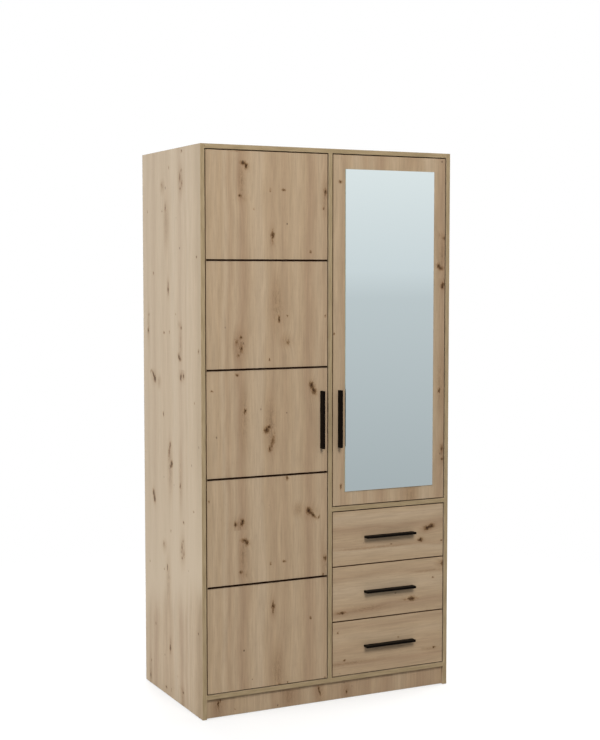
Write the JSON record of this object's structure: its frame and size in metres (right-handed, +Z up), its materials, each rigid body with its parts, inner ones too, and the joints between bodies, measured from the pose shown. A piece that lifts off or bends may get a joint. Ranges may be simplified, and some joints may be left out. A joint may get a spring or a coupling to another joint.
{
  "type": "chifforobe wardrobe",
  "caption": "Freestanding wardrobe with a tall hinged door beside a mirror door above a stack of drawers, with a hanging bay and shelves, on a low plinth.",
  "frame": {"origin": "on the floor, under the middle of the whole object's box, handles included", "axes": "+Z up, +X to the right as seen from the front, -Y towards the person who opens it"},
  "size_m": [1, 0.593, 2],
  "materials": {
    "wood_decor_board": "satin laminated board with a rustic oak decor",
    "hardboard": "painted hardboard",
    "black_metal": "matt black powder coat",
    "black_trim": "matt black strip",
    "mirror_glass": "silvered float glass",
    "chrome_tube": "bright chrome",
    "nickel_steel": "nickel plated",
    "zinc_steel": "zinc plated",
    "nylon": "natural nylon",
    "white_runner_steel": "white epoxy coat",
    "glide_plastic": "brown plastic"
  },
  "bodies": {
    "carcass": {"left_side_panel": "wood_decor_board", "right_side_panel": "wood_decor_board", "centre_divider": "wood_decor_board", "top_panel": "wood_decor_board", "bottom_panel": "wood_decor_board", "plinth": "wood_decor_board", "drawer_bay_shelf": "wood_decor_board", "back_panel": "hardboard", "hat_shelf": "wood_decor_board", "hanging_rail": "chrome_tube", "hanging_rail_sockets": "chrome_tube", "upper_shelf": "wood_decor_board", "lower_shelf": "wood_decor_board", "shelf_pins": "zinc_steel", "cam_locks": "zinc_steel", "cam_bolts": "zinc_steel", "back_panel_nails": "zinc_steel", "floor_glides": "glide_plastic", "left_door_hinge_arms": "nickel_steel", "right_door_hinge_arms": "nickel_steel", "cabinet_runners": "white_runner_steel"},
    "left_door": {"left_door_panel": "wood_decor_board", "left_door_strips": "black_trim", "left_door_handle": "black_metal", "left_door_handle_screws": "zinc_steel", "left_door_hinge_cups": "nickel_steel", "left_door_hinge_pins": "nickel_steel"},
    "right_door": {"right_door_panel": "wood_decor_board", "mirror": "mirror_glass", "right_door_handle": "black_metal", "right_door_handle_screws": "zinc_steel", "right_door_hinge_cups": "nickel_steel", "right_door_hinge_pins": "nickel_steel"},
    "lower_drawer": {"lower_drawer_front": "wood_decor_board", "lower_drawer_sides": "wood_decor_board", "lower_drawer_back": "wood_decor_board", "lower_drawer_bottom": "hardboard", "lower_drawer_handle": "black_metal", "lower_drawer_handle_screws": "zinc_steel", "lower_drawer_runners": "white_runner_steel"},
    "middle_drawer": {"middle_drawer_front": "wood_decor_board", "middle_drawer_sides": "wood_decor_board", "middle_drawer_back": "wood_decor_board", "middle_drawer_bottom": "hardboard", "middle_drawer_handle": "black_metal", "middle_drawer_handle_screws": "zinc_steel", "middle_drawer_runners": "white_runner_steel"},
    "upper_drawer": {"upper_drawer_front": "wood_decor_board", "upper_drawer_sides": "wood_decor_board", "upper_drawer_back": "wood_decor_board", "upper_drawer_bottom": "hardboard", "upper_drawer_handle": "black_metal", "upper_drawer_handle_screws": "zinc_steel", "upper_drawer_runners": "white_runner_steel"},
    "lower_drawer_rollers": {"lower_drawer_rollers": "nylon"},
    "lower_cabinet_rollers": {"lower_cabinet_rollers": "nylon"},
    "middle_drawer_rollers": {"middle_drawer_rollers": "nylon"},
    "middle_cabinet_rollers": {"middle_cabinet_rollers": "nylon"},
    "upper_drawer_rollers": {"upper_drawer_rollers": "nylon"},
    "upper_cabinet_rollers": {"upper_cabinet_rollers": "nylon"}
  },
  "joints": [
    {"name": "left_door_hinge", "type": "hinge", "parent": "carcass", "child": "left_door", "pos_m": [-0.467, -0.264, 1.0355], "axis": [0, 0, -1], "range_deg": [0, 100]},
    {"name": "right_door_hinge", "type": "hinge", "parent": "carcass", "child": "right_door", "pos_m": [0.467, -0.264, 1.3495], "axis": [0, 0, 1], "range_deg": [0, 100]},
    {"name": "lower_drawer_slide", "type": "slide", "parent": "carcass", "child": "lower_drawer", "axis": [0, -1, 0], "range_m": [0, 0.34]},
    {"name": "lower_drawer_roller_spin", "type": "hinge", "parent": "lower_drawer", "child": "lower_drawer_rollers", "pos_m": [0.246, 0.1805, 0.1192], "axis": [1, 0, 0], "range_deg": [0, 2200]},
    {"name": "lower_cabinet_roller_spin", "type": "hinge", "parent": "carcass", "child": "lower_cabinet_rollers", "pos_m": [0.246, -0.2335, 0.1211], "axis": [1, 0, 0], "range_deg": [0, 2200]},
    {"name": "middle_drawer_slide", "type": "slide", "parent": "carcass", "child": "middle_drawer", "axis": [0, -1, 0], "range_m": [0, 0.34]},
    {"name": "middle_drawer_roller_spin", "type": "hinge", "parent": "middle_drawer", "child": "middle_drawer_rollers", "pos_m": [0.246, 0.1805, 0.3222], "axis": [1, 0, 0], "range_deg": [0, 2200]},
    {"name": "middle_cabinet_roller_spin", "type": "hinge", "parent": "carcass", "child": "middle_cabinet_rollers", "pos_m": [0.246, -0.2335, 0.3241], "axis": [1, 0, 0], "range_deg": [0, 2200]},
    {"name": "upper_drawer_slide", "type": "slide", "parent": "carcass", "child": "upper_drawer", "axis": [0, -1, 0], "range_m": [0, 0.34]},
    {"name": "upper_drawer_roller_spin", "type": "hinge", "parent": "upper_drawer", "child": "upper_drawer_rollers", "pos_m": [0.246, 0.1805, 0.5252], "axis": [1, 0, 0], "range_deg": [0, 2200]},
    {"name": "upper_cabinet_roller_spin", "type": "hinge", "parent": "carcass", "child": "upper_cabinet_rollers", "pos_m": [0.246, -0.2335, 0.5271], "axis": [1, 0, 0], "range_deg": [0, 2200]}
  ],
  "couplings": [
    {"joint": "lower_drawer_roller_spin", "follows": "lower_drawer_slide", "rad_per_m": 112.36},
    {"joint": "lower_cabinet_roller_spin", "follows": "lower_drawer_slide", "rad_per_m": 112.36},
    {"joint": "middle_drawer_roller_spin", "follows": "middle_drawer_slide", "rad_per_m": 112.36},
    {"joint": "middle_cabinet_roller_spin", "follows": "middle_drawer_slide", "rad_per_m": 112.36},
    {"joint": "upper_drawer_roller_spin", "follows": "upper_drawer_slide", "rad_per_m": 112.36},
    {"joint": "upper_cabinet_roller_spin", "follows": "upper_drawer_slide", "rad_per_m": 112.36}
  ]
}
